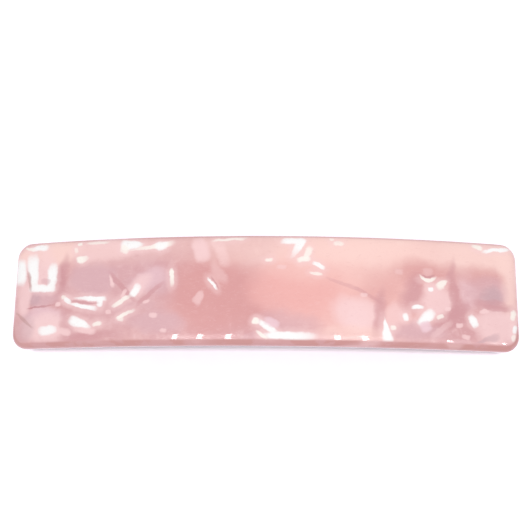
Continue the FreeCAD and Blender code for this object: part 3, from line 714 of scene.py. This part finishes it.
def finish_metals():
    """Gives each steel piece a finish: plated nickel, spring steel, or a rivet's bare bright steel."""
    nickel = steel_material(
        "nickel_plate",
        light=(0.78, 0.76, 0.72, 1),
        dark=(0.6, 0.58, 0.55, 1),
        roughness=0.24,
        grain=1.2,
        direction=(0.15, 3, 3),
    )
    spring = steel_material(
        "spring_steel",
        light=(0.66, 0.67, 0.69, 1),
        dark=(0.44, 0.45, 0.48, 1),
        roughness=0.32,
        grain=1.5,
        direction=(0.12, 4, 4),
    )
    rivet = steel_material(
        "rivet_steel",
        light=(0.82, 0.81, 0.79, 1),
        dark=(0.64, 0.63, 0.61, 1),
        roughness=0.2,
        grain=2.4,
        direction=(1, 1, 1),
    )
    finishes = {
        nickel: ("clip_base", "clasp_arm"),
        spring: ("tension_bar", "catch_floor", "catch_wing_front", "catch_wing_rear"),
        rivet: ("rivet_hinge_end", "rivet_catch_end", "hinge_pin", "catch_rivet"),
    }
    for material, names in finishes.items():
        for name in names:
            NODES[name].data.materials.clear()
            NODES[name].data.materials.append(material)


# ---------------------------------------------------------------- studio


def leaning(swing, tilt):
    """The direction that leans from straight up by a swing to the right and a tilt to the front."""
    return Vector((math.sin(swing) * math.cos(tilt), -math.sin(tilt), math.cos(swing) * math.cos(tilt)))


FACE_MIDDLE = Vector((0, 0, FRONT_LEVEL))

# The camera looks at the middle of the show face, a little from the front and from the right.
VIEW_TILT = math.radians(12.75)
VIEW_SWING = math.radians(2.3)
VIEW_ROLL = math.radians(0.73)
VIEW_DISTANCE = 168 * MM
VIEW_BACK = leaning(VIEW_SWING, VIEW_TILT)
EYE = FACE_MIDDLE + VIEW_BACK * VIEW_DISTANCE
LENS = 59.9
SHIFT_X = 0.0073
SHIFT_Y = 0.043
NEAR_CLIP = 10 * MM

# A small key light close to the camera, so that its shadow only just shows under the plate's lower edge.
KEY_TILT = math.radians(8)
KEY_DISTANCE = 800 * MM
KEY_SIDE = 20 * MM
KEY_SIZE = 70 * MM
KEY_RADIANCE = 286.0
KEY_COLOUR = (1, 0.985, 0.975)

# A row of narrow lamps behind the camera, each mirrored as a bright dot in the lower shoulder of the plate:
# where along the arch its dot shows, in millimetres, and its share of the full height.
LAMPS = ((-16.5, 1), (-11.4, 1), (-6.1, 1), (14.5, 1), (19.5, 1), (35.8, 0.5), (47, 0.4))
LAMP_DISTANCE = 400 * MM
LAMP_WIDTH = 8 * MM
LAMP_HEIGHT = 150 * MM
LAMP_TILT = math.radians(4.8)
LAMP_RADIANCE = 26.0

# The even light from all round.
WORLD_COLOUR = (1, 0.995, 1, 1)
WORLD_STRENGTH = 0.72

# The table: how far it reaches each way, and the two tones of its faint grain.
TABLE_REACH = 4
TABLE_DARK = (0.93, 0.87, 0.95, 1)
TABLE_LIGHT = (0.96, 0.9, 0.98, 1)


def place_camera():
    """A slightly rolled camera, shifted to frame the whole plate."""
    right = Vector((0, 1, 0)).cross(VIEW_BACK).normalized()
    up = VIEW_BACK.cross(right)
    turn = Matrix((right, up, VIEW_BACK)).transposed() @ Matrix.Rotation(VIEW_ROLL, 3, "Z")
    data = bpy.data.cameras.new("camera")
    data.lens = LENS
    data.shift_x = SHIFT_X
    data.shift_y = SHIFT_Y
    data.clip_start = NEAR_CLIP
    camera = bpy.data.objects.new("camera", data)
    camera.matrix_world = Matrix.Translation(EYE) @ turn.to_4x4()
    bpy.context.scene.collection.objects.link(camera)
    bpy.context.scene.camera = camera


def area_light(name, place, aim, width, height, radiance, colour=(1, 1, 1)):
    """A rectangular light of a given radiance, turned towards a point."""
    data = bpy.data.lights.new(name, "AREA")
    data.shape = "RECTANGLE"
    data.size = width
    data.size_y = height
    data.energy = radiance * math.pi * width * height
    data.color = colour
    light = bpy.data.objects.new(name, data)
    back = (Vector(place) - Vector(aim)).normalized()
    across = Vector((1, 0, 0))
    across = (across - back * across.dot(back)).normalized()
    turn = Matrix((across, back.cross(across), back)).transposed()
    light.matrix_world = Matrix.Translation(place) @ turn.to_4x4()
    bpy.context.scene.collection.objects.link(light)
    return light


def place_key():
    """The key light, which lights the acetate but doesn't show in its gloss."""
    place = (KEY_SIDE, -KEY_DISTANCE * math.sin(KEY_TILT), FRONT_LEVEL + KEY_DISTANCE * math.cos(KEY_TILT))
    key = area_light("key", place, FACE_MIDDLE, KEY_SIZE, KEY_SIZE, KEY_RADIANCE, KEY_COLOUR)
    key.visible_glossy = False


def place_lamp(name, run, share):
    """Hangs a lamp where the plate's shoulder mirrors it to the camera at a run along the arch.

    It shows in the gloss but doesn't light the acetate."""
    spot = Vector(on_plate(run, 0, 0))
    to_eye = (EYE - spot).normalized()
    mirrored = 2 * run / ARCH_RADIUS - math.atan2(to_eye.x, to_eye.z)
    place = spot + leaning(mirrored, LAMP_TILT) * LAMP_DISTANCE
    lamp = area_light(name, place, spot, LAMP_WIDTH, LAMP_HEIGHT * share, LAMP_RADIANCE)
    lamp.visible_diffuse = False


def light_scene():
    """The even light, the key light and the row of lamps."""
    world = bpy.data.worlds.new("studio")
    bpy.context.scene.world = world
    world.use_nodes = True
    background = world.node_tree.nodes["Background"]
    background.inputs["Color"].default_value = WORLD_COLOUR
    background.inputs["Strength"].default_value = WORLD_STRENGTH
    place_key()
    for number, (run, share) in enumerate(LAMPS):
        place_lamp(f"lamp_{number}", run * MM, share)


def lay_floor():
    """A plain, faintly lavender table, in the plane that the barrette rests on."""
    material, graph, shader, place = new_material("pale_table")
    grain = graph.noise(place, scale=0.3, detail=3)
    graph.feed(shader.inputs["Base Color"], graph.mix(grain, TABLE_DARK, TABLE_LIGHT))
    shader.inputs["Roughness"].default_value = 0.7
    mesh = bpy.data.meshes.new("table")
    low, high = -TABLE_REACH, TABLE_REACH
    corners = [(low, low, 0), (high, low, 0), (high, high, 0), (low, high, 0)]
    mesh.from_pydata(corners, [], [(0, 1, 2, 3)])
    floor = bpy.data.objects.new("table", mesh)
    mesh.materials.append(material)
    bpy.context.scene.collection.objects.link(floor)


def build_plate():
    """The acetate plate with its polished rim, in place of the CAD's plain one."""
    plate = bpy.data.objects.new("pearl_plate", plate_mesh())
    bpy.context.scene.collection.objects.link(plate)
    acetate = acetate_material()
    plate.data.materials.append(acetate)
    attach(plate, "front_plate")
    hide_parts("acetate_plate")
    NODES["acetate_plate"].data.materials.clear()
    NODES["acetate_plate"].data.materials.append(acetate)


build_plate()
finish_metals()
lay_floor()
light_scene()
place_camera()
bpy.context.scene.view_settings.view_transform = "Standard"
